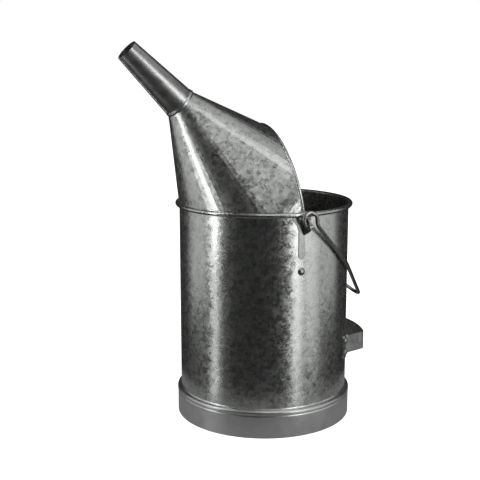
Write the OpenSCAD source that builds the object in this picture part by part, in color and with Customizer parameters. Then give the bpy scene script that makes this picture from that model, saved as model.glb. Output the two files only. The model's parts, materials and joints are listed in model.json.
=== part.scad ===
// Galvanised pouring can: a straight can with a half hood and a conical nozzle,
// a wire bail that swings in two ears, and a low strap grip at the back for tipping.
// The origin is on the can's axis at the floor. +Z is up, the nozzle points towards -X,
// the grip is at +X and the two ears are at -Y (left) and +Y (right). Millimetres.

/* [Sheet and solder] */
// Thickness of the galvanised sheet
sheet_t = 0.8; // [0.5:0.1:1.2]
// Gap between two pieces that are soldered together
solder_gap = 0.1; // [0.05:0.05:0.2]
// Leg length of a solder fillet
solder_leg = 1.4; // [0.8:0.1:2]

/* [Can body] */
// Outside radius of the can's wall
body_r = 100; // [90:1:115]
// Height of the rim wire's centre above the floor
rim_z = 254.7; // [230:1:300]
// Radius of the wire rolled into the rim
rim_wire_r = 1.85; // [1.5:0.05:2.6]
// Angle of rim bead that the sheet wraps round its wire
rim_wrap = 295; // [270:5:310]
// Height of the wall's lower edge above the floor
wall_foot_z = 9; // [4:1:12]
// Width of the lock seam that closes the wall
seam_w = 7; // [5:0.5:10]
// Height of the lock seam above the wall's face
seam_rise = 1.1; // [0.6:0.1:1.6]
// Direction of the lock seam, counted from the grip
seam_angle = 0; // [-10:1:10]

/* [Bottom] */
// Height of the bottom's flat rim above the floor
bottom_z = 20; // [16:1:26]
// Depth of the bottom's turned-down flange
bottom_flange = 9; // [6:1:10]
// Rise of the dished bottom at its middle
bottom_dish = 3; // [1:0.5:6]
// Bend radius between the bottom and its flange
bottom_bend = 3; // [2:0.5:5]

/* [Foot band] */
// How far the foot band stands out from the can's wall
foot_out = 4; // [3.4:0.1:5.6]
// Height of the groove below the foot band's shoulder
foot_groove_z = 26.5; // [22:0.5:32]
// Depth of that groove
foot_groove = 0.45; // [0.2:0.05:0.6]
// How far the shoulder's ridge stands proud of the band
foot_ridge = 0.4; // [0.1:0.1:0.8]
// Height of the foot band's top edge, on the wall
foot_top_z = 32.5; // [31:0.5:38]
// Height of the folded hem at the foot band's lower edge
hem_h = 7; // [4:0.5:10]

/* [Hood] */
// How far the hood's foot stands out from the can's wall, on the rim bead
hood_foot_out = 0.9; // [0.4:0.1:1.5]
// Height of the hood's back arch above its foot
arch_h = 88; // [70:1:100]
// How far the top of the back arch lies in front of the ears
arch_top_x = 2.8; // [0:0.2:8]
// How far the foot of the back arch lies behind the ears
arch_foot_x = 0.7; // [0:0.1:2]
// Forward bow of the back arch half way up
arch_bow = 4.2; // [0:0.2:6]
// Radius of the wire rolled into the back arch
arch_wire_r = 1.15; // [1:0.05:1.6]
// Distance of the neck's centre in front of the can's axis
neck_x = 103.2; // [90:1:112]
// Height of the neck's centre above the hood's foot
neck_rise = 113.3; // [100:1:125]
// Length of the hood's spigot inside the nozzle
spigot_len = 8; // [5:1:12]

/* [Hood collar] */
// Height of the collar band inside the rim
collar_h = 20; // [14:1:28]
// How far the collar's top flange reaches beyond the hood's foot
collar_lip = 0.9; // [0.4:0.1:1.2]
// Width of the collar's tongue at each ear
tongue_w = 16; // [13:1:22]

/* [Nozzle] */
// Angle of the nozzle above the level
nozzle_angle = 44.2; // [35:1:55]
// Outside radius of the nozzle at the neck
nozzle_base_r = 18.9; // [16:0.2:21]
// Outside radius of the nozzle at its mouth
nozzle_tip_r = 12.6; // [10:0.2:15]
// Length of the nozzle
nozzle_len = 85; // [60:1:110]
// Width of the nozzle's lapped seam
nozzle_seam_w = 5; // [3:0.5:7]
// Height of the nozzle's lapped seam above its face
nozzle_seam_rise = 0.6; // [0.3:0.1:0.9]
// Width of the solder band round the neck joint
neck_band_w = 3.6; // [2:0.2:6]
// Thickness of the solder band round the neck joint
neck_band_t = 0.8; // [0.4:0.1:1.2]

/* [Ears] */
// Thickness of the ear's sheet
ear_t = 1; // [0.8:0.1:1.4]
// Width of the ear's top edge under the rim bead
ear_top_w = 22; // [16:1:28]
// Width of the ear's tail
ear_tail_w = 7.4; // [6:0.2:10]
// Depth of the ear's top edge before it narrows
ear_top_h = 3; // [2:0.5:5]
// Distance from the ear's top edge to where the tail begins
ear_taper_h = 16; // [12:1:20]
// Length of the ear from its top edge to the tail's end
ear_len = 47; // [38:1:56]
// Thickness of the ear's standing lug
lug_t = 1.6; // [1.2:0.1:2]
// Distance of the lug from the ear's middle, towards the grip
lug_x = 2.5; // [1.5:0.1:3.2]
// Radius of the lug's rounded nose
lug_nose_r = 6; // [5.2:0.2:7]
// Radius of the eye that the bail's hook passes through
eye_r = 3.1; // [2.9:0.1:3.3]
// Depth of the lug's foot below the eye
lug_foot = 11; // [9:0.5:15]

/* [Bail] */
// Radius of the bail's wire
bail_wire_r = 2.25; // [1.6:0.05:2.6]
// Free space between the rim bead and the bail's wire
bail_side_gap = 3.2; // [2:0.1:4]
// Distance of the hooks' centre behind the ears
pivot_x = 5.5; // [5:0.1:6.5]
// Distance of the hooks' centre below the rim wire
pivot_drop = 4.7; // [4:0.1:6]
// Radius of the hooks, at the wire's middle
hook_r = 8; // [7.2:0.1:8.6]
// Angle from the arm's side of the hook to the hook's cut end
hook_turn = 285; // [275:5:300]
// Length of the straight leg between the hook and the arm
hook_leg = 6.35; // [6:0.1:9]
// Bend radius between the hook's leg and the arm
hook_bend_r = 12; // [8:0.5:12.4]
// Angle by which each arm leans inwards
arm_lean = 21.5; // [18:0.5:26]
// Length of each arm's straight part, along the bail
arm_run = 76; // [50:1:80]
// Bend radius where the arm turns towards the middle
arm_bend_r = 60; // [30:5:80]
// Distance from the arms' start to the point where the two sides meet
bail_reach = 169; // [150:1:190]
// Bend radius at the bail's middle
tip_bend_r = 14; // [8:1:20]
// Free space between the wall and the hanging bail
rest_gap = 0.3; // [0.3:0.1:0.8]

/* [Rivets] */
// Radius of a rivet's head
rivet_head_r = 4.4; // [3.6:0.1:5]
// Height of a rivet's domed head
rivet_head_h = 2.3; // [1.6:0.1:2.8]
// Radius of a rivet's shank
rivet_r = 2.4; // [1.8:0.1:2.8]
// Free space between a rivet's shank and its hole
rivet_gap = 0.05; // [0.03:0.01:0.1]
// Radius of a rivet's closed head, inside the can
rivet_tail_r = 3.8; // [3.4:0.1:4.4]
// Height of a rivet's closed head
rivet_tail_h = 1.6; // [1:0.1:2]
// Distance of the side rivets below the rim wire
side_rivet_drop = 63.9; // [60:1:75]

/* [Tipping grip] */
// Thickness of the grip's strap
grip_t = 1.2; // [1:0.1:1.8]
// Height of the grip's strap
grip_h = 21.5; // [16:0.5:26]
// Height of the strap's middle above the floor
grip_z = 84.2; // [70:1:110]
// Distance from the can's wall to the middle of the strap's outer face
grip_reach = 23.2; // [19:0.1:30]
// Half of the width between the strap's outer corners
grip_half_w = 45; // [38:1:48]
// How far the strap's outer face bows out beyond its corners
grip_bow = 9; // [6:0.5:12]
// Bend radius at the strap's corners
grip_corner_r = 6; // [4:0.5:8]
// Angle by which each leg of the grip splays outwards
grip_splay = 16; // [8:1:20]
// Width of the pad that each leg ends in, along the wall
pad_w = 17; // [15:0.5:22]
// Height of each pad
pad_h = 29; // [27:0.5:34]
// Corner radius of each pad
pad_corner_r = 4; // [2:0.5:6]
// Distance between the two rivets of a pad
pad_rivet_step = 14; // [12:0.5:16]

/* [Hidden] */
$fn = 96;
cut = 1;                 // how far a cutting shape runs past the face it cuts
arch_steps = 36;         // straight pieces along the hood's back arch
foot_steps = 40;         // straight pieces along the hood's foot
neck_steps = 72;         // straight pieces round the hood's neck
hood_solder_gap = 0.6;   // from the hood's sheet to the thick end of its solder
wire_gap = 0.15;         // clearance round a wire inside its roll
wire_sides = 10;         // flat sides of the wire in the hood's arch
hook_steps = 24;         // straight pieces round each of the bail's hooks

body_in_r = body_r - sheet_t;
foot_r = body_r + foot_out;
hood_foot_r = body_r + hood_foot_out;
grip_out = body_r + grip_reach;
bead_in_r = rim_wire_r + wire_gap;
bead_r = bead_in_r + sheet_t;
bead_mid_r = body_r + bead_in_r;
rim_top_z = rim_z + bead_r;
rim_out_r = bead_mid_r + bead_r;

collar_out_r = body_in_r - solder_gap;
collar_in_r = collar_out_r - sheet_t;
flange_z = rim_top_z + solder_gap / 4;
hood_z = flange_z + sheet_t + solder_gap / 4;

nozzle_dir = [-cos(nozzle_angle), 0, sin(nozzle_angle)];
neck_up = [sin(nozzle_angle), 0, cos(nozzle_angle)];
neck_side = [0, 1, 0];
neck_mid = [-neck_x, 0, hood_z + neck_rise];
nozzle_taper = (nozzle_base_r - nozzle_tip_r) / nozzle_len;

arch_bead_in_r = arch_wire_r + wire_gap;
edge_in = arch_bead_in_r + solder_gap;
arch_bead_r = arch_bead_in_r + sheet_t;

side_rivet_z = rim_z - side_rivet_drop;

ear_in_r = body_r + solder_gap;
ear_top_z = rim_z - bead_r - 0.3;
pivot_z = rim_z - pivot_drop;
bail_y = rim_out_r + bail_side_gap + bail_wire_r;
eye_z = pivot_z - sqrt(pow(hook_r, 2) - pow(pivot_x - lug_x, 2));

// The bail hangs at the steepest angle that keeps its arms clear of the wall.
arm_x = pivot_x + hook_r;
arm_z = pivot_z - hook_leg;
arm_end_y = bail_y - arm_run * tan(arm_lean);
tip_slope = arm_end_y / (bail_reach - arm_run);
function arm_y(u) = u < arm_run ? bail_y - u * tan(arm_lean) : arm_end_y - (u - arm_run) * tip_slope;
function wall_space(droop) = min([for (u = [0 : 4 : bail_reach / 2]) norm([arm_x + u * cos(droop), arm_y(u)])])
    - body_r - bail_wire_r;
bail_droop = max([for (droop = [20 : 0.1 : 70]) if (wall_space(droop) >= rest_gap + 0.6) droop]);

grip_bow_r = (pow(grip_half_w, 2) + pow(grip_bow, 2)) / (2 * grip_bow);
grip_mid_x = grip_out - grip_t / 2 - grip_bow_r;
grip_bow_half = asin(grip_half_w / grip_bow_r);
grip_corner = [grip_mid_x, 0] + (grip_bow_r - grip_corner_r) * [cos(grip_bow_half), sin(grip_bow_half)];
leg_from = grip_corner + grip_corner_r * [sin(grip_splay), cos(grip_splay)];
leg_dir = [-cos(grip_splay), sin(grip_splay)];
leg_len = -leg_from * leg_dir - sqrt(pow(leg_from * leg_dir, 2) - leg_from * leg_from + pow(body_r, 2));
leg_end = leg_from + leg_len * leg_dir;
pad_angle = atan2(leg_end[1], leg_end[0]) + asin((pad_w / 2 - grip_t) / body_r);

function unit(v) = v / norm(v);
function lerp(a, b, w) = a + (b - a) * w;
function arc_points(mid, r, from, to, steps) =
    [for (i = [0 : steps]) mid + r * [cos(from + (to - from) * i / steps), sin(from + (to - from) * i / steps)]];

// ---------------------------------------------------------------- shared shapes

// Closed mesh through a list of loops that all have as many points; the last joins the first.
module ring_mesh(loops) {
    rows = len(loops);
    cols = len(loops[0]);
    polyhedron(
        points = [for (loop = loops) each loop],
        faces = [for (i = [0 : rows - 1], j = [0 : cols - 1], half = [0, 1])
            let (a = i * cols + j, b = i * cols + (j + 1) % cols,
                 c = ((i + 1) % rows) * cols + (j + 1) % cols, d = ((i + 1) % rows) * cols + j)
            half == 0 ? [a, b, c] : [a, c, d]]);
}

// Solid through a list of loops, closed by a flat cap at each end.
module capped_mesh(loops) {
    rows = len(loops);
    cols = len(loops[0]);
    polyhedron(
        points = [for (loop = loops) each loop],
        faces = concat(
            [[for (j = [cols - 1 : -1 : 0]) j]],
            [for (i = [0 : rows - 2], j = [0 : cols - 1], half = [0, 1])
                let (a = i * cols + j, b = i * cols + (j + 1) % cols, c = b + cols, d = a + cols)
                half == 0 ? [a, b, c] : [a, c, d]],
            [[for (j = [0 : cols - 1]) (rows - 1) * cols + j]]));
}

// Places its children with their X, Y and Z axes along x, y and z at the point p.
module placed(p, x, y, z) {
    multmatrix([[x[0], y[0], z[0], p[0]], [x[1], y[1], z[1], p[1]], [x[2], y[2], z[2], p[2]], [0, 0, 0, 1]])
        children();
}

// Stations along a wire that is bent round each inner corner of a list: [point, direction].
function bent_path(corners, bend_rs, steps) =
    let (last = len(corners) - 1)
    concat(
        [[corners[0], unit(corners[1] - corners[0])]],
        [for (k = [1 : last - 1]) each bend_points(corners[k], unit(corners[k] - corners[k - 1]),
                                                   unit(corners[k + 1] - corners[k]), bend_rs[k], steps)],
        [[corners[last], unit(corners[last] - corners[last - 1])]]);

function bend_points(corner, before, after, bend_r, steps) =
    let (turn = acos(before * after), inward = unit(after - before * cos(turn)),
         start = corner - before * bend_r * tan(turn / 2))
    [for (i = [0 : steps]) let (a = turn * i / steps)
        [start + bend_r * (sin(a) * before + (1 - cos(a)) * inward), cos(a) * before + sin(a) * inward]];

// Round wire through stations [point, direction, side], each side square to its direction.
module bent_wire(stations, r, sides) {
    capped_mesh([for (station = stations)
        let (side = station[2], up = cross(station[1], side))
        [for (i = [0 : sides - 1]) station[0] + r * (cos(360 * i / sides) * side + sin(360 * i / sides) * up)]]);
}

// Part of the can's wall layer between two radii, cut to an outline drawn as seen along +Y.
module wall_layer(in_r, out_r) {
    intersection() {
        difference() {
            cylinder(h = rim_top_z, r = out_r);
            translate([0, 0, -cut]) cylinder(h = rim_top_z + 2 * cut, r = in_r);
        }
        rotate([90, 0, 0]) linear_extrude(out_r + cut) children();
    }
}

// Rivet through a wall whose outer face is at radius out_r and inner face at in_r, along -Y.
module rivet(out_r, in_r) {
    dome_r = (pow(rivet_head_r, 2) + pow(rivet_head_h, 2)) / (2 * rivet_head_h);
    rotate([90, 0, 0]) {
        translate([0, 0, in_r - rivet_tail_h]) cylinder(h = rivet_tail_h, r = rivet_tail_r, $fn = 48);
        translate([0, 0, in_r - rivet_tail_h / 2])
            cylinder(h = out_r - in_r + (rivet_tail_h + rivet_head_h) / 2, r = rivet_r, $fn = 48);
        translate([0, 0, out_r]) rotate_extrude($fn = 48) intersection() {
            translate([0, rivet_head_h - dome_r]) circle(r = dome_r);
            square([rivet_head_r, rivet_head_h]);
        }
    }
}

// Where a rivet's flat tail sits in a wall that curves round it.
function inside_seat(wall_r) = sqrt(pow(wall_r, 2) - pow(rivet_tail_r, 2)) - solder_gap / 2;

module rivet_hole(depth_r) {
    rotate([90, 0, 0]) cylinder(h = depth_r, r = rivet_r + rivet_gap, $fn = 48);
}

module at_each_ear() {
    for (side = [0, 180]) rotate([0, 0, side]) children();
}

// ---------------------------------------------------------------- can body

module body_shell() {
    color("#a9adad") difference() {
        union() {
            rotate_extrude() {
                translate([body_in_r, wall_foot_z]) square([sheet_t, rim_z - wall_foot_z]);
                difference() {
                    translate([bead_mid_r, rim_z]) circle(r = bead_r);
                    translate([bead_mid_r, rim_z]) circle(r = bead_in_r);
                    translate([bead_mid_r, rim_z]) polygon(concat([[0, 0]],
                        arc_points([0, 0], 3 * bead_r, 180, 540 - rim_wrap, 4)));
                }
            }
            lock_seam();
        }
        for (turn = [0, 180]) rotate([0, 0, turn]) translate([0, 0, side_rivet_z]) rivet_hole(body_r + cut);
        at_pad_rivets() rivet_hole(body_r + cut);
    }
}

module lock_seam() {
    seam_top_z = rim_z - bead_r - 1;
    seam_foot_z = foot_top_z + solder_gap + solder_leg + 1;
    rotate([0, 0, seam_angle]) intersection() {
        translate([0, 0, seam_foot_z]) difference() {
            cylinder(h = seam_top_z - seam_foot_z, r = body_r + seam_rise);
            translate([0, 0, -cut]) cylinder(h = rim_z, r = body_r - sheet_t / 2);
        }
        translate([0, -seam_w / 2, 0]) cube([body_r + 2 * seam_rise, seam_w, rim_z]);
    }
}

module rim_wire() {
    color("#8d9191") rotate_extrude() translate([bead_mid_r, rim_z]) circle(r = rim_wire_r);
}

module bottom_disc() {
    flange_r = body_in_r - solder_gap;
    dish_r = flange_r - bottom_bend;
    dish_ball_r = (pow(dish_r, 2) + pow(bottom_dish, 2)) / (2 * bottom_dish);
    bend_mid = [dish_r, bottom_z - bottom_bend];
    dish_turn = asin(dish_r / dish_ball_r);
    dish_mid = [0, bottom_z + bottom_dish - dish_ball_r];
    color("#9b9f9f") rotate_extrude() polygon(concat(
        arc_points(dish_mid, dish_ball_r, 90, 90 - dish_turn, 12),
        arc_points(bend_mid, bottom_bend, 85, 0, 8),
        [[flange_r, bottom_z - bottom_flange], [flange_r - sheet_t, bottom_z - bottom_flange]],
        arc_points(bend_mid, bottom_bend - sheet_t, 0, 85, 8),
        arc_points(dish_mid, dish_ball_r - sheet_t, 90 - dish_turn, 90, 12)));
}

module bottom_solder() {
    in_r = body_in_r - solder_gap - sheet_t;
    color("#c3c7c7") rotate_extrude() polygon([
        [body_in_r - solder_gap / 2, bottom_z - bottom_flange - solder_gap / 2],
        [in_r, bottom_z - bottom_flange - solder_gap / 2],
        [body_in_r - solder_gap / 2, bottom_z - bottom_flange - solder_leg]]);
}

// ---------------------------------------------------------------- foot band

function foot_outline(inset) =
    let (ridge_r = foot_r + foot_ridge, ridge_z = foot_groove_z + 2.5, rise = foot_top_z - ridge_z,
         fall = ridge_r - body_r - solder_gap - sheet_t,
         arc_r = (pow(rise, 2) + pow(fall, 2)) / (2 * fall))
    concat(
        [[foot_r - inset, foot_groove_z - 1.4], [foot_r - foot_groove - inset, foot_groove_z],
         [ridge_r - inset, foot_groove_z + 1.2]],
        arc_points([ridge_r - arc_r, ridge_z], arc_r - inset, 0, atan2(rise, arc_r - fall), 8));

module foot_band() {
    outside = foot_outline(0);
    inside = foot_outline(sheet_t);
    color("#a3a7a7") rotate_extrude() polygon(concat(
        [[foot_r - 2 * sheet_t, 0], [foot_r, 0]],
        outside,
        [for (i = [len(inside) - 1 : -1 : 0]) inside[i]],
        [[foot_r - sheet_t, hem_h], [foot_r - 2 * sheet_t, hem_h]]));
}

module foot_solder() {
    seat_z = foot_top_z + solder_gap;
    color("#c3c7c7") rotate_extrude() polygon([
        [body_r + solder_gap / 4, seat_z],
        [body_r + solder_gap / 4 + 0.8, seat_z],
        [body_r + solder_gap / 4, seat_z + solder_leg]]);
}

// ---------------------------------------------------------------- hood

// Middle of the bead on the hood's back arch, at an angle from its top.
function arch_point(t) = [
    lerp(arch_foot_x, -arch_top_x, cos(t)) - arch_bow * sin(2 * abs(t)),
    (hood_foot_r - sheet_t / 2) * sin(t),
    hood_z + (arch_h - sheet_t / 2) * cos(t)];

// Outward direction of the arch at that angle.
function arch_out(t) = unit([0, arch_h * sin(t), hood_foot_r * cos(t)]);

// Points of the neck circle, and of the hood's foot round the front.
function neck_ring(r, along) =
    [for (turn = [0 : 360 / neck_steps : 359]) neck_mid + nozzle_dir * along + r * (cos(turn) * neck_up + sin(turn) * neck_side)];
function foot_ring(r, z) =
    [for (i = [0 : foot_steps]) let (turn = 90 + 180 * i / foot_steps) [r * cos(turn), r * sin(turn), z]];

hood_rest = concat(foot_ring(hood_foot_r, hood_z), neck_ring(nozzle_base_r, 0));

// Direction in which the hood's sheet leaves the bead, as seen in the bead's section: the sheet is drawn
// tight over the bead, the foot and the neck, so it leaves towards the outermost of them.
function sheet_angle(t) =
    let (mid = arch_point(t), out = arch_out(t),
         runs = [for (p = hood_rest) let (run = p - mid) if (run[0] < -sheet_t) run],
         slopes = [for (run = runs) -(run * out) / run[0]],
         far = search(max(slopes), slopes)[0])
    atan2(runs[far][0], runs[far] * out);

// A point of the bead's section, turned so that the sheet leaves it at angle 0.
function bead_point(t, p) =
    let (a = sheet_angle(t))
    arch_point(t) + arch_out(t) * (p[0] * cos(a) - p[1] * sin(a)) + [p[0] * sin(a) + p[1] * cos(a), 0, 0];

// The skin drawn tight over the arch, the foot and the neck, at a depth below the hood's outside.
module hood_skin(inset, edge_back, foot_down, neck_back) {
    points = concat(
        [for (i = [0 : arch_steps]) bead_point(-90 + 180 * i / arch_steps, [-edge_back, sheet_t / 2 - inset])],
        foot_ring(hood_foot_r - inset, hood_z - foot_down),
        neck_ring(nozzle_base_r - inset, -neck_back));
    hull() polyhedron(points, [[for (i = [0 : len(points) - 1]) i]]);
}

// All that lies behind the hood's rear edge, which is bowed as the arch is.
module behind_arch() {
    edge = [for (i = [0 : arch_steps / 2]) arch_point(90 - 180 * i / arch_steps)];
    rotate([90, 0, 0]) linear_extrude(3 * body_r, center = true) polygon(concat(
        [[body_r, hood_z - body_r], [edge[0][0] - edge_in, hood_z - body_r]],
        [for (p = edge) [p[0] - edge_in, p[2]]],
        [[edge[len(edge) - 1][0] - edge_in, hood_z + 2 * body_r], [body_r, hood_z + 2 * body_r]]));
}

module hood() {
    spigot_r = nozzle_base_r - sheet_t - solder_gap;
    tip_r = spigot_r - spigot_len * nozzle_taper;
    color("#b4b8b8") difference() {
        union() {
            difference() {
                hood_skin(0, 0, 0, 0);
                hood_skin(sheet_t, sheet_t, solder_gap / 2, sheet_t);
            }
            at_neck() translate([0, 0, -sheet_t / 2]) cylinder(h = spigot_len + sheet_t / 2, r1 = spigot_r, r2 = tip_r);
        }
        behind_arch();
        arch_sweep(circle_points(arch_bead_in_r, 16));
        at_neck() translate([0, 0, -2 * sheet_t])
            cylinder(h = spigot_len + 3 * sheet_t, r1 = spigot_r - sheet_t, r2 = tip_r - sheet_t);
    }
}

function circle_points(r, sides) = [for (i = [0 : sides - 1]) r * [cos(360 * i / sides), sin(360 * i / sides)]];

// Sweeps an outline of the bead's section along the arch.
module arch_sweep(outline) {
    capped_mesh([for (i = [0 : arch_steps]) [for (p = outline) bead_point(-90 + 180 * i / arch_steps, p)]]);
}

module hood_edge_wire() {
    color("#8d9191") arch_sweep(circle_points(arch_wire_r, wire_sides));
}

// The edging that is rolled over the wire and grips the hood's edge in its slit.
module hood_edge_roll() {
    slit = asin((sheet_t / 2 + solder_gap) / arch_bead_in_r);
    color("#b4b8b8") arch_sweep(concat(
        arc_points([0, 0], arch_bead_r, slit, 360 - slit, 14),
        arc_points([0, 0], arch_bead_in_r, 360 - slit, slit, 14)));
}

module hood_collar() {
    color("#9b9f9f") difference() {
        rotate_extrude() {
            translate([collar_in_r, side_rivet_z - tongue_w / 2])
                square([sheet_t, flange_z + sheet_t - side_rivet_z + tongue_w / 2]);
            translate([collar_in_r, flange_z]) square([hood_foot_r + collar_lip - collar_in_r, sheet_t]);
        }
        rotate([90, 0, 0]) linear_extrude(3 * body_r, center = true) collar_waste();
        at_each_ear() translate([0, 0, side_rivet_z]) rivet_hole(body_r);
    }
}

// What is cut from a full ring to leave the front half of the collar and its two tongues.
module collar_waste() {
    wide = 2 * body_r;
    band_z = flange_z + sheet_t - collar_h;
    difference() {
        union() {
            translate([-wide, 0]) square([2 * wide, band_z]);
            translate([tongue_w / 2, 0]) square([wide, rim_z + wide]);
        }
        translate([-tongue_w / 2, side_rivet_z]) square([tongue_w, rim_z]);
        translate([0, side_rivet_z]) circle(d = tongue_w, $fn = 64);
    }
}

module hood_solder() {
    seat_z = hood_z;
    in_r = collar_in_r + 0.2;
    out_r = hood_foot_r - sheet_t - hood_solder_gap;
    color("#c3c7c7") rotate([0, 0, 95]) rotate_extrude(angle = 170)
        polygon([[in_r, seat_z - solder_gap / 8], [out_r, seat_z - solder_gap / 8], [out_r, seat_z + 0.4]]);
}

// ---------------------------------------------------------------- nozzle

module at_neck() {
    placed(neck_mid, neck_up, -neck_side, nozzle_dir) children();
}

module nozzle() {
    color("#a9adad") at_neck() {
        difference() {
            translate([0, 0, solder_gap / 2])
                cylinder(h = nozzle_len, r1 = nozzle_base_r, r2 = nozzle_tip_r);
            translate([0, 0, -cut + solder_gap / 2])
                cylinder(h = nozzle_len + 2 * cut, r1 = nozzle_base_r - sheet_t + cut * nozzle_taper,
                         r2 = nozzle_tip_r - sheet_t - cut * nozzle_taper);
        }
        nozzle_seam();
    }
}

module nozzle_seam() {
    from = neck_band_w + 1;
    rise = nozzle_seam_rise;
    intersection() {
        difference() {
            translate([0, 0, from]) cylinder(h = nozzle_len - from, r1 = nozzle_base_r + rise - from * nozzle_taper,
                                             r2 = nozzle_tip_r + rise);
            translate([0, 0, from - cut])
                cylinder(h = nozzle_len - from + 2 * cut,
                         r1 = nozzle_base_r - sheet_t / 2 - (from - cut) * nozzle_taper,
                         r2 = nozzle_tip_r - sheet_t / 2 - cut * nozzle_taper);
        }
        translate([-nozzle_base_r - 2, -nozzle_seam_w / 2, 0]) cube([nozzle_base_r, nozzle_seam_w, nozzle_len]);
    }
}

module neck_solder() {
    from = solder_gap;
    in_r = nozzle_base_r + solder_gap / 4;
    color("#c3c7c7") at_neck() rotate_extrude() polygon([
        [in_r - from * nozzle_taper, from],
        [in_r + neck_band_t, from],
        [in_r + neck_band_t, from + neck_band_w / 2],
        [in_r + neck_band_t / 2 - neck_band_w * nozzle_taper, from + neck_band_w],
        [in_r - (from + neck_band_w) * nozzle_taper, from + neck_band_w]]);
}

// ---------------------------------------------------------------- ears

// The left ear, at -Y; a lug with an eye stands on a plate that ends in a rounded tail.
module ear() {
    tail_r = ear_tail_w / 2;
    color("#9a9e9e") {
        wall_layer(ear_in_r, ear_in_r + ear_t) {
            polygon([
                [-ear_top_w / 2, ear_top_z], [ear_top_w / 2, ear_top_z],
                [ear_top_w / 2, ear_top_z - ear_top_h], [ear_top_w / 4, ear_top_z - ear_taper_h * 0.6],
                [tail_r, ear_top_z - ear_taper_h], [tail_r, ear_top_z - ear_len + tail_r],
                [-tail_r, ear_top_z - ear_len + tail_r], [-tail_r, ear_top_z - ear_taper_h],
                [-ear_top_w / 4, ear_top_z - ear_taper_h * 0.6], [-ear_top_w / 2, ear_top_z - ear_top_h]]);
            translate([0, ear_top_z - ear_len + tail_r]) circle(r = tail_r, $fn = 48);
        }
        ear_lug();
    }
}

module ear_lug() {
    root = ear_in_r + ear_t / 2;
    lug_top_z = ear_top_z - 0.5;
    difference() {
        translate([lug_x - lug_t / 2, 0, 0]) rotate([90, 0, 90]) linear_extrude(lug_t) {
            translate([-bail_y, eye_z]) circle(r = lug_nose_r, $fn = 64);
            polygon([
                [-root, lug_top_z], [-bail_y, lug_top_z], [-bail_y - lug_nose_r, eye_z + 2],
                [-bail_y - lug_nose_r, eye_z],
                [-bail_y - lug_nose_r * cos(55), eye_z - lug_nose_r * sin(55)], [-root, eye_z - lug_foot]]);
        }
        translate([0, -bail_y, eye_z]) rotate([0, 90, 0]) translate([0, 0, -2 * lug_t])
            cylinder(h = 6 * lug_t, r = eye_r, $fn = 64);
    }
}

module ear_left() {
    ear();
}

module ear_right() {
    mirror([0, 1, 0]) ear();
}

module side_rivets() {
    color("#b9bdbd") at_each_ear() translate([0, 0, side_rivet_z])
        rivet(body_r + solder_gap / 4, inside_seat(collar_in_r));
}

// ---------------------------------------------------------------- bail

function in_bail(u, y) = [arm_x + u * cos(bail_droop), y, arm_z - u * sin(bail_droop)];

// Stations round one hook, from one angle to another, counted from the arm's side.
function hook_path(side, from, to) =
    [for (i = [0 : hook_steps - 1])
        let (a = from + (to - from) * (i + (from > to ? 0 : 1)) / hook_steps)
        [[pivot_x + hook_r * cos(a), side * bail_y, pivot_z + hook_r * sin(a)],
         side * [-sin(a), 0, cos(a)], [0, -side, 0]]];

module bail() {
    corners = [
        [arm_x, -bail_y, pivot_z],
        in_bail(0, -bail_y),
        in_bail(arm_run, -arm_end_y),
        in_bail(bail_reach, 0),
        in_bail(arm_run, arm_end_y),
        in_bail(0, bail_y),
        [arm_x, bail_y, pivot_z]];
    bend_rs = [0, hook_bend_r, arm_bend_r, tip_bend_r, arm_bend_r, hook_bend_r, 0];
    face = [sin(bail_droop), 0, cos(bail_droop)];
    arms = [for (station = bent_path(corners, bend_rs, 8)) [each station, unit(cross(face, station[1]))]];
    color("#6f7373") bent_wire(concat(hook_path(-1, hook_turn, 0), arms, hook_path(1, 0, hook_turn)),
                               bail_wire_r, 16);
}

// ---------------------------------------------------------------- tipping grip

module at_pad_rivets() {
    for (side = [-1, 1], step = [-1, 1])
        rotate([0, 0, 90 + side * pad_angle]) translate([0, 0, grip_z + step * pad_rivet_step / 2]) children();
}

// One face of the strap, seen from above, at a distance from the strap's middle.
function strap_face(off) =
    let (leg_out = [sin(grip_splay), cos(grip_splay)],
         foot = leg_end + off * leg_out, far_foot = [foot[0], -foot[1]], far_corner = [grip_corner[0], -grip_corner[1]])
    concat(
        [foot],
        arc_points(grip_corner, grip_corner_r + off, 90 - grip_splay, grip_bow_half, 8),
        arc_points([grip_mid_x, 0], grip_bow_r + off, grip_bow_half - 2, 2 - grip_bow_half, 20),
        arc_points(far_corner, grip_corner_r + off, -grip_bow_half, grip_splay - 90, 8),
        [far_foot]);

module grip() {
    pad_in_r = body_r + solder_gap;
    outer = strap_face(grip_t / 2);
    inner = strap_face(-grip_t / 2);
    color("#a3a7a7") difference() {
        union() {
            translate([0, 0, grip_z - grip_h / 2]) linear_extrude(grip_h)
                polygon(concat(outer, [for (i = [len(inner) - 1 : -1 : 0]) inner[i]]));
            for (side = [-1, 1]) rotate([0, 0, 90 + side * pad_angle])
                wall_layer(pad_in_r, pad_in_r + grip_t) translate([0, grip_z]) pad_outline();
        }
        translate([0, 0, grip_z - pad_h]) cylinder(h = 2 * pad_h, r = pad_in_r);
        at_pad_rivets() rivet_hole(body_r + 5);
    }
}

module pad_outline() {
    straight = [pad_w - 2 * pad_corner_r, pad_h - 2 * pad_corner_r];
    square([pad_w, straight[1]], center = true);
    square([straight[0], pad_h], center = true);
    for (x = [-1, 1], y = [-1, 1]) translate([x * straight[0] / 2, y * straight[1] / 2])
        circle(r = pad_corner_r, $fn = 32);
}

module grip_rivets() {
    color("#b9bdbd") at_pad_rivets()
        rivet(body_r + solder_gap + grip_t + solder_gap / 4, inside_seat(body_in_r));
}

body_shell();
rim_wire();
bottom_disc();
bottom_solder();
foot_band();
foot_solder();
hood();
hood_edge_wire();
hood_edge_roll();
hood_collar();
hood_solder();
nozzle();
neck_solder();
ear_left();
ear_right();
side_rivets();
bail();
grip();
grip_rivets();
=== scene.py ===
import json
import math

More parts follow.
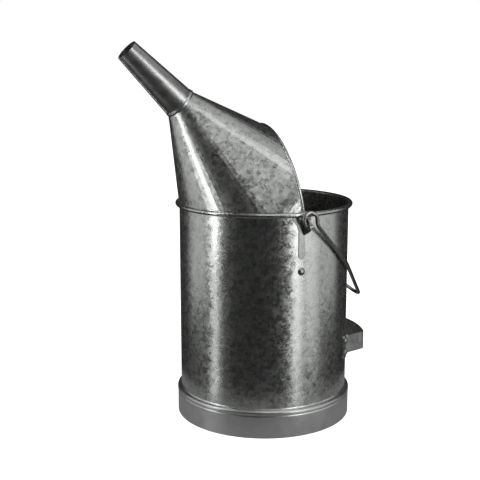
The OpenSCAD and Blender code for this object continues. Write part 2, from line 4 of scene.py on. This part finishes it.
import bmesh
import bpy
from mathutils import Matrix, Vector

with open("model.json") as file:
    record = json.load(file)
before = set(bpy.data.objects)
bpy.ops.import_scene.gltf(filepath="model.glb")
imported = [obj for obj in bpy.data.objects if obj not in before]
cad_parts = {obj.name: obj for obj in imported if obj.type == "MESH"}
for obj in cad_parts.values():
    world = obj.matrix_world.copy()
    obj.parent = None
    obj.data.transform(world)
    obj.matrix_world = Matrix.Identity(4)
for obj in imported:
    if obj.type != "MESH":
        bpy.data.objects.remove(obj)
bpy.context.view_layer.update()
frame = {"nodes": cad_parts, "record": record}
nodes = frame["nodes"]
scene = bpy.context.scene
scene.view_settings.view_transform = "Standard"

# ---------------------------------------------------------------- camera

CAMERA_AT = Vector((-0.4593, -0.9985, 0.4258))
CAMERA_TO = Vector((0.3869, 0.9014, -0.1942))

lens = bpy.data.cameras.new("camera")
lens.sensor_width = 36
lens.lens = 70.28
lens.clip_start = 0.02
camera = bpy.data.objects.new("camera", lens)
camera.location = CAMERA_AT
camera.rotation_euler = CAMERA_TO.to_track_quat("-Z", "Y").to_euler()
scene.collection.objects.link(camera)
scene.camera = camera


# ---------------------------------------------------------------- node helpers

class Graph:
    """A small helper that builds one node tree."""

    def __init__(self, tree):
        self.tree = tree

    def add(self, kind, settings=None, **inputs):
        node = self.tree.nodes.new(kind)
        for key, value in (settings or {}).items():
            setattr(node, key, value)
        for key, value in inputs.items():
            self.put(node, key.replace("_", " "), value)
        return node

    def put(self, node, key, value):
        socket = node.inputs[int(key) if key.isdigit() else key]
        if isinstance(value, bpy.types.NodeSocket):
            self.tree.links.new(value, socket)
        else:
            socket.default_value = value

    def math(self, operation, a, b=None, c=None, clamp=False):
        node = self.add("ShaderNodeMath", {"operation": operation, "use_clamp": clamp})
        for i, value in enumerate((a, b, c)):
            if value is not None:
                self.put(node, str(i), value)
        return node.outputs[0]

    def vector(self, operation, a, b=None, scale=None):
        node = self.add("ShaderNodeVectorMath", {"operation": operation})
        self.put(node, "0", a)
        if b is not None:
            self.put(node, "1", b)
        if scale is not None:
            self.put(node, "Scale", scale)
        return node.outputs[0]

    def noise(self, at, scale, detail=3.0, rough=0.5, colour=False):
        node = self.add("ShaderNodeTexNoise", Vector=at, Scale=scale, Detail=detail, Roughness=rough)
        return node.outputs["Color" if colour else "Fac"]

    def cells(self, at, scale, smooth=0.45):
        node = self.add("ShaderNodeTexVoronoi", {"feature": "SMOOTH_F1"}, Vector=at, Scale=scale, Smoothness=smooth)
        return node.outputs["Color"]

    def ramp(self, value, stops, smooth=False):
        node = self.add("ShaderNodeValToRGB")
        band = node.color_ramp
        band.interpolation = "EASE" if smooth else "LINEAR"
        while len(band.elements) < len(stops):
            band.elements.new(0.5)
        for element, (place, colour) in zip(band.elements, stops):
            element.position = place
            element.color = (*colour, 1)
        self.put(node, "Fac", value)
        return node.outputs["Color"]

    def mix(self, amount, a, b, mode="MIX"):
        node = self.add("ShaderNodeMix", {"data_type": "RGBA", "blend_type": mode})
        self.put(node, "0", amount)
        self.put(node, "6", a)
        self.put(node, "7", b)
        return node.outputs[2]


def new_material(name):
    material = bpy.data.materials.new(name)
    material.use_nodes = True
    tree = material.node_tree
    tree.nodes.clear()
    graph = Graph(tree)
    shader = graph.add("ShaderNodeBsdfPrincipled")
    out = graph.add("ShaderNodeOutputMaterial")
    tree.links.new(shader.outputs[0], out.inputs["Surface"])
    return material, graph, shader


def galvanised(name, tint, spangle=215.0, tilt=0.075, rough=(0.15, 0.3), contrast=0.26, wave=0.015, grime=0.35):
    """Hot-dipped zinc: crystal patches that lean a little each way, over gently uneven sheet."""
    material, g, shader = new_material(name)
    place = g.add("ShaderNodeTexCoord").outputs["Object"]
    # crystal patches: two sizes of soft-edged cells, with feathered borders
    drift = g.vector("SUBTRACT", g.noise(place, 95.0, 3.0, 0.6, colour=True), (0.5, 0.5, 0.5))
    bent = g.vector("ADD", place, g.vector("SCALE", drift, scale=0.012))
    coarse = g.cells(bent, spangle)
    fine = g.cells(bent, spangle * 2.3)
    patches = g.mix(0.47, coarse, fine)
    grey = g.add("ShaderNodeSeparateColor", Color=patches).outputs[0]
    feather = g.noise(bent, spangle * 5, 2.0, 0.6)
    level = g.math("ADD", g.math("MULTIPLY", grey, 0.75), g.math("MULTIPLY", feather, 0.25))

    # each patch leans a little its own way, over a slow swell of the sheet
    lean = g.vector("SCALE", g.vector("SUBTRACT", patches, (0.5, 0.5, 0.5)), scale=tilt)
    swell = g.vector("SUBTRACT", g.noise(place, 16.0, 2.0, 0.5, colour=True), (0.5, 0.5, 0.5))
    lean = g.vector("ADD", lean, g.vector("SCALE", swell, scale=wave))
    facing = g.add("ShaderNodeNewGeometry").outputs["Normal"]
    facing = g.vector("NORMALIZE", g.vector("ADD", facing, lean))
    bump = g.add("ShaderNodeBump", Strength=0.12, Distance=0.0004,
                 Height=g.noise(place, 620.0, 3.0, 0.6), Normal=facing)

    dark = tuple(c * (1 - contrast) for c in tint)
    pale = tuple(min(1.0, c * (1 + contrast * 0.6)) for c in tint)
    colour = g.ramp(level, [(0.2, dark), (0.5, tint), (0.85, pale)])
    cloud = g.ramp(g.noise(place, 22.0, 4.0, 0.6), [(0.35, (1, 1, 1)), (0.7, (0.86, 0.87, 0.85))])
    colour = g.mix(grime, colour, g.mix(1.0, colour, cloud, "MULTIPLY"))
    g.put(shader, "Base Color", colour)
    g.put(shader, "Metallic", 1.0)
    span = rough[1] - rough[0]
    haze = g.math("MULTIPLY", g.noise(place, 30.0, 4.0, 0.6), 0.1)
    g.put(shader, "Roughness", g.math("ADD", g.math("MULTIPLY_ADD", level, span, rough[0]), haze))
    g.put(shader, "Normal", bump.outputs[0])
    return material


def drawn_metal(name, tint, rough=0.28, spread=0.12, scale=260.0, bump=0.15):
    """Wire, rivets and solder: plain metal with small stains and a rubbed, uneven skin."""
    material, g, shader = new_material(name)
    place = g.add("ShaderNodeTexCoord").outputs["Object"]
    stain = g.noise(place, scale * 0.4, 4.0, 0.65)
    dark = tuple(c * 0.62 for c in tint)
    g.put(shader, "Base Color", g.ramp(stain, [(0.3, dark), (0.55, tint)]))
    g.put(shader, "Metallic", 1.0)
    g.put(shader, "Roughness", g.math("MULTIPLY_ADD", g.noise(place, scale, 3.0, 0.6), spread * 2, rough - spread))
    skin = g.add("ShaderNodeBump", Strength=bump, Distance=0.0003, Height=g.noise(place, scale * 1.7, 3.0, 0.6))
    g.put(shader, "Normal", skin.outputs[0])
    return material


ZINC = (0.66, 0.675, 0.655)
MATERIALS = {
    "body_sheet": galvanised("body_sheet", ZINC),
    "hood_sheet": galvanised("hood_sheet", ZINC, tilt=0.08, rough=(0.18, 0.33), contrast=0.32),
    "bottom_sheet": galvanised("bottom_sheet", ZINC),
    "collar_sheet": galvanised("collar_sheet", ZINC),
    "band_sheet": galvanised("band_sheet", (0.66, 0.67, 0.66), spangle=90.0, tilt=0.025, contrast=0.07, rough=(0.26, 0.36)),
    "nozzle_sheet": galvanised("nozzle_sheet", (0.66, 0.67, 0.66), spangle=150.0, tilt=0.018, contrast=0.16, rough=(0.24, 0.34)),
    # painted shade: the ear's tint is darker than the zinc elsewhere to stand in for the shadow its wings sit in under
    # the rim
    "ear_sheet": galvanised("ear_sheet", (0.42, 0.43, 0.42), spangle=170.0, tilt=0.05, rough=(0.22, 0.4)),
    "grip_sheet": galvanised("grip_sheet", (0.66, 0.68, 0.66), spangle=120.0, tilt=0.05, rough=(0.26, 0.38)),
    "edge_roll": galvanised("edge_roll", (0.74, 0.75, 0.74), spangle=200.0, tilt=0.03, contrast=0.1, rough=(0.2, 0.3)),
    "inner_wire": drawn_metal("inner_wire", (0.45, 0.45, 0.44)),
    "solder": drawn_metal("solder", (0.7, 0.71, 0.71), rough=0.34, bump=0.4),
    "rivet_steel": drawn_metal("rivet_steel", (0.5, 0.5, 0.49), rough=0.32),
    "bail_wire": drawn_metal("bail_wire", (0.42, 0.42, 0.41), rough=0.3),
}
slot_of = {part["node"]: part["material_slot"] for part in frame["record"]["subparts"]}
for name, node in nodes.items():
    if not node.material_slots:
        node.data.materials.append(None)
    for place in node.material_slots:
        place.material = MATERIALS[slot_of[name]]


# ---------------------------------------------------------------- studio

def seen_by(thing, cam=True, glossy=True, diffuse=True, shadow=True):
    thing.visible_camera = cam
    thing.visible_glossy = glossy
    thing.visible_diffuse = diffuse
    thing.visible_shadow = shadow
    thing.visible_transmission = False


def mesh_piece(name, build, material):
    mesh = bpy.data.meshes.new(name)
    shape = bmesh.new()
    build(shape)
    shape.to_mesh(mesh)
    shape.free()
    mesh.materials.append(material)
    piece = bpy.data.objects.new(name, mesh)
    scene.collection.objects.link(piece)
    return piece


def glow(name, level, diffuse=0.0):
    material, g, shader = new_material(name)
    g.put(shader, "Base Color", (diffuse, diffuse, diffuse, 1))
    g.put(shader, "Roughness", 1.0)
    g.put(shader, "Specular IOR Level", 0.0)
    g.put(shader, "Emission Color", (1, 1, 1, 1))
    g.put(shader, "Emission Strength", level)
    return material


def disc(radius):
    return lambda shape: bmesh.ops.create_circle(shape, cap_ends=True, segments=96, radius=radius)


def dome(shape):
    bmesh.ops.create_uvsphere(shape, u_segments=64, v_segments=32, radius=5.0)


floor = mesh_piece("floor", disc(5.0), glow("floor_paper", 0.62, 0.8))
sky = mesh_piece("backdrop", dome, glow("backdrop_paper", 1.0))
stand = mesh_piece("stand_glow", disc(0.2), glow("stand_paper", 0.2))
seen_by(floor, glossy=False, shadow=False)
seen_by(sky, glossy=False, shadow=False)
seen_by(stand, cam=False, diffuse=False, shadow=False)

world = bpy.data.worlds.new("studio")
world.use_nodes = True
world.node_tree.nodes["Background"].inputs["Color"].default_value = (0.9, 0.93, 0.9, 1)
world.node_tree.nodes["Background"].inputs["Strength"].default_value = 0.026
scene.world = world


def lamp(name, at, aim, wide, tall, energy):
    """A rectangular area light that the camera doesn't see."""
    light = bpy.data.lights.new(name, "AREA")
    light.shape = "RECTANGLE"
    light.size = wide
    light.size_y = tall
    light.energy = energy
    piece = bpy.data.objects.new(name, light)
    piece.location = at
    piece.rotation_euler = (Vector(aim) - piece.location).to_track_quat("-Z", "Y").to_euler()
    piece.visible_camera = False
    scene.collection.objects.link(piece)


def softbox(name, azimuth, distance, low, high, width, power):
    """A tall light that stands round the can and faces its axis."""
    angle = math.radians(azimuth)
    middle = (low + high) / 2
    at = (distance * math.cos(angle), distance * math.sin(angle), middle)
    lamp(name, at, (0, 0, middle), width, high - low, power * width * (high - low))


softbox("left_strip", 181, 0.75, 0.08, 1.3, 0.1, 15)
softbox("left_low", 181, 0.75, -0.25, 0.08, 0.1, 5)
softbox("left_fill", 150, 0.95, -0.1, 0.9, 0.55, 1.7)
softbox("right_strip", -72, 0.85, 0.08, 0.75, 0.2, 9.5)
softbox("right_low", -72, 0.85, -0.25, 0.08, 0.17, 5)
softbox("right_fill", -50, 0.95, -0.2, 0.8, 0.36, 2.6)
softbox("right_edge", -22, 0.95, -0.1, 0.8, 0.5, 1.6)
lamp("top_box", (0.05, -0.95, 1.25), (0, 0, 0.3), 1.0, 0.7, 2.1)
lamp("ridge_box", (0.35, -0.15, 1.5), (-0.05, 0, 0.33), 1.3, 1.3, 2.4)
lamp("hood_box", (-0.6, -0.8, 1.55), (-0.05, 0, 0.33), 1.0, 0.8, 0.9)
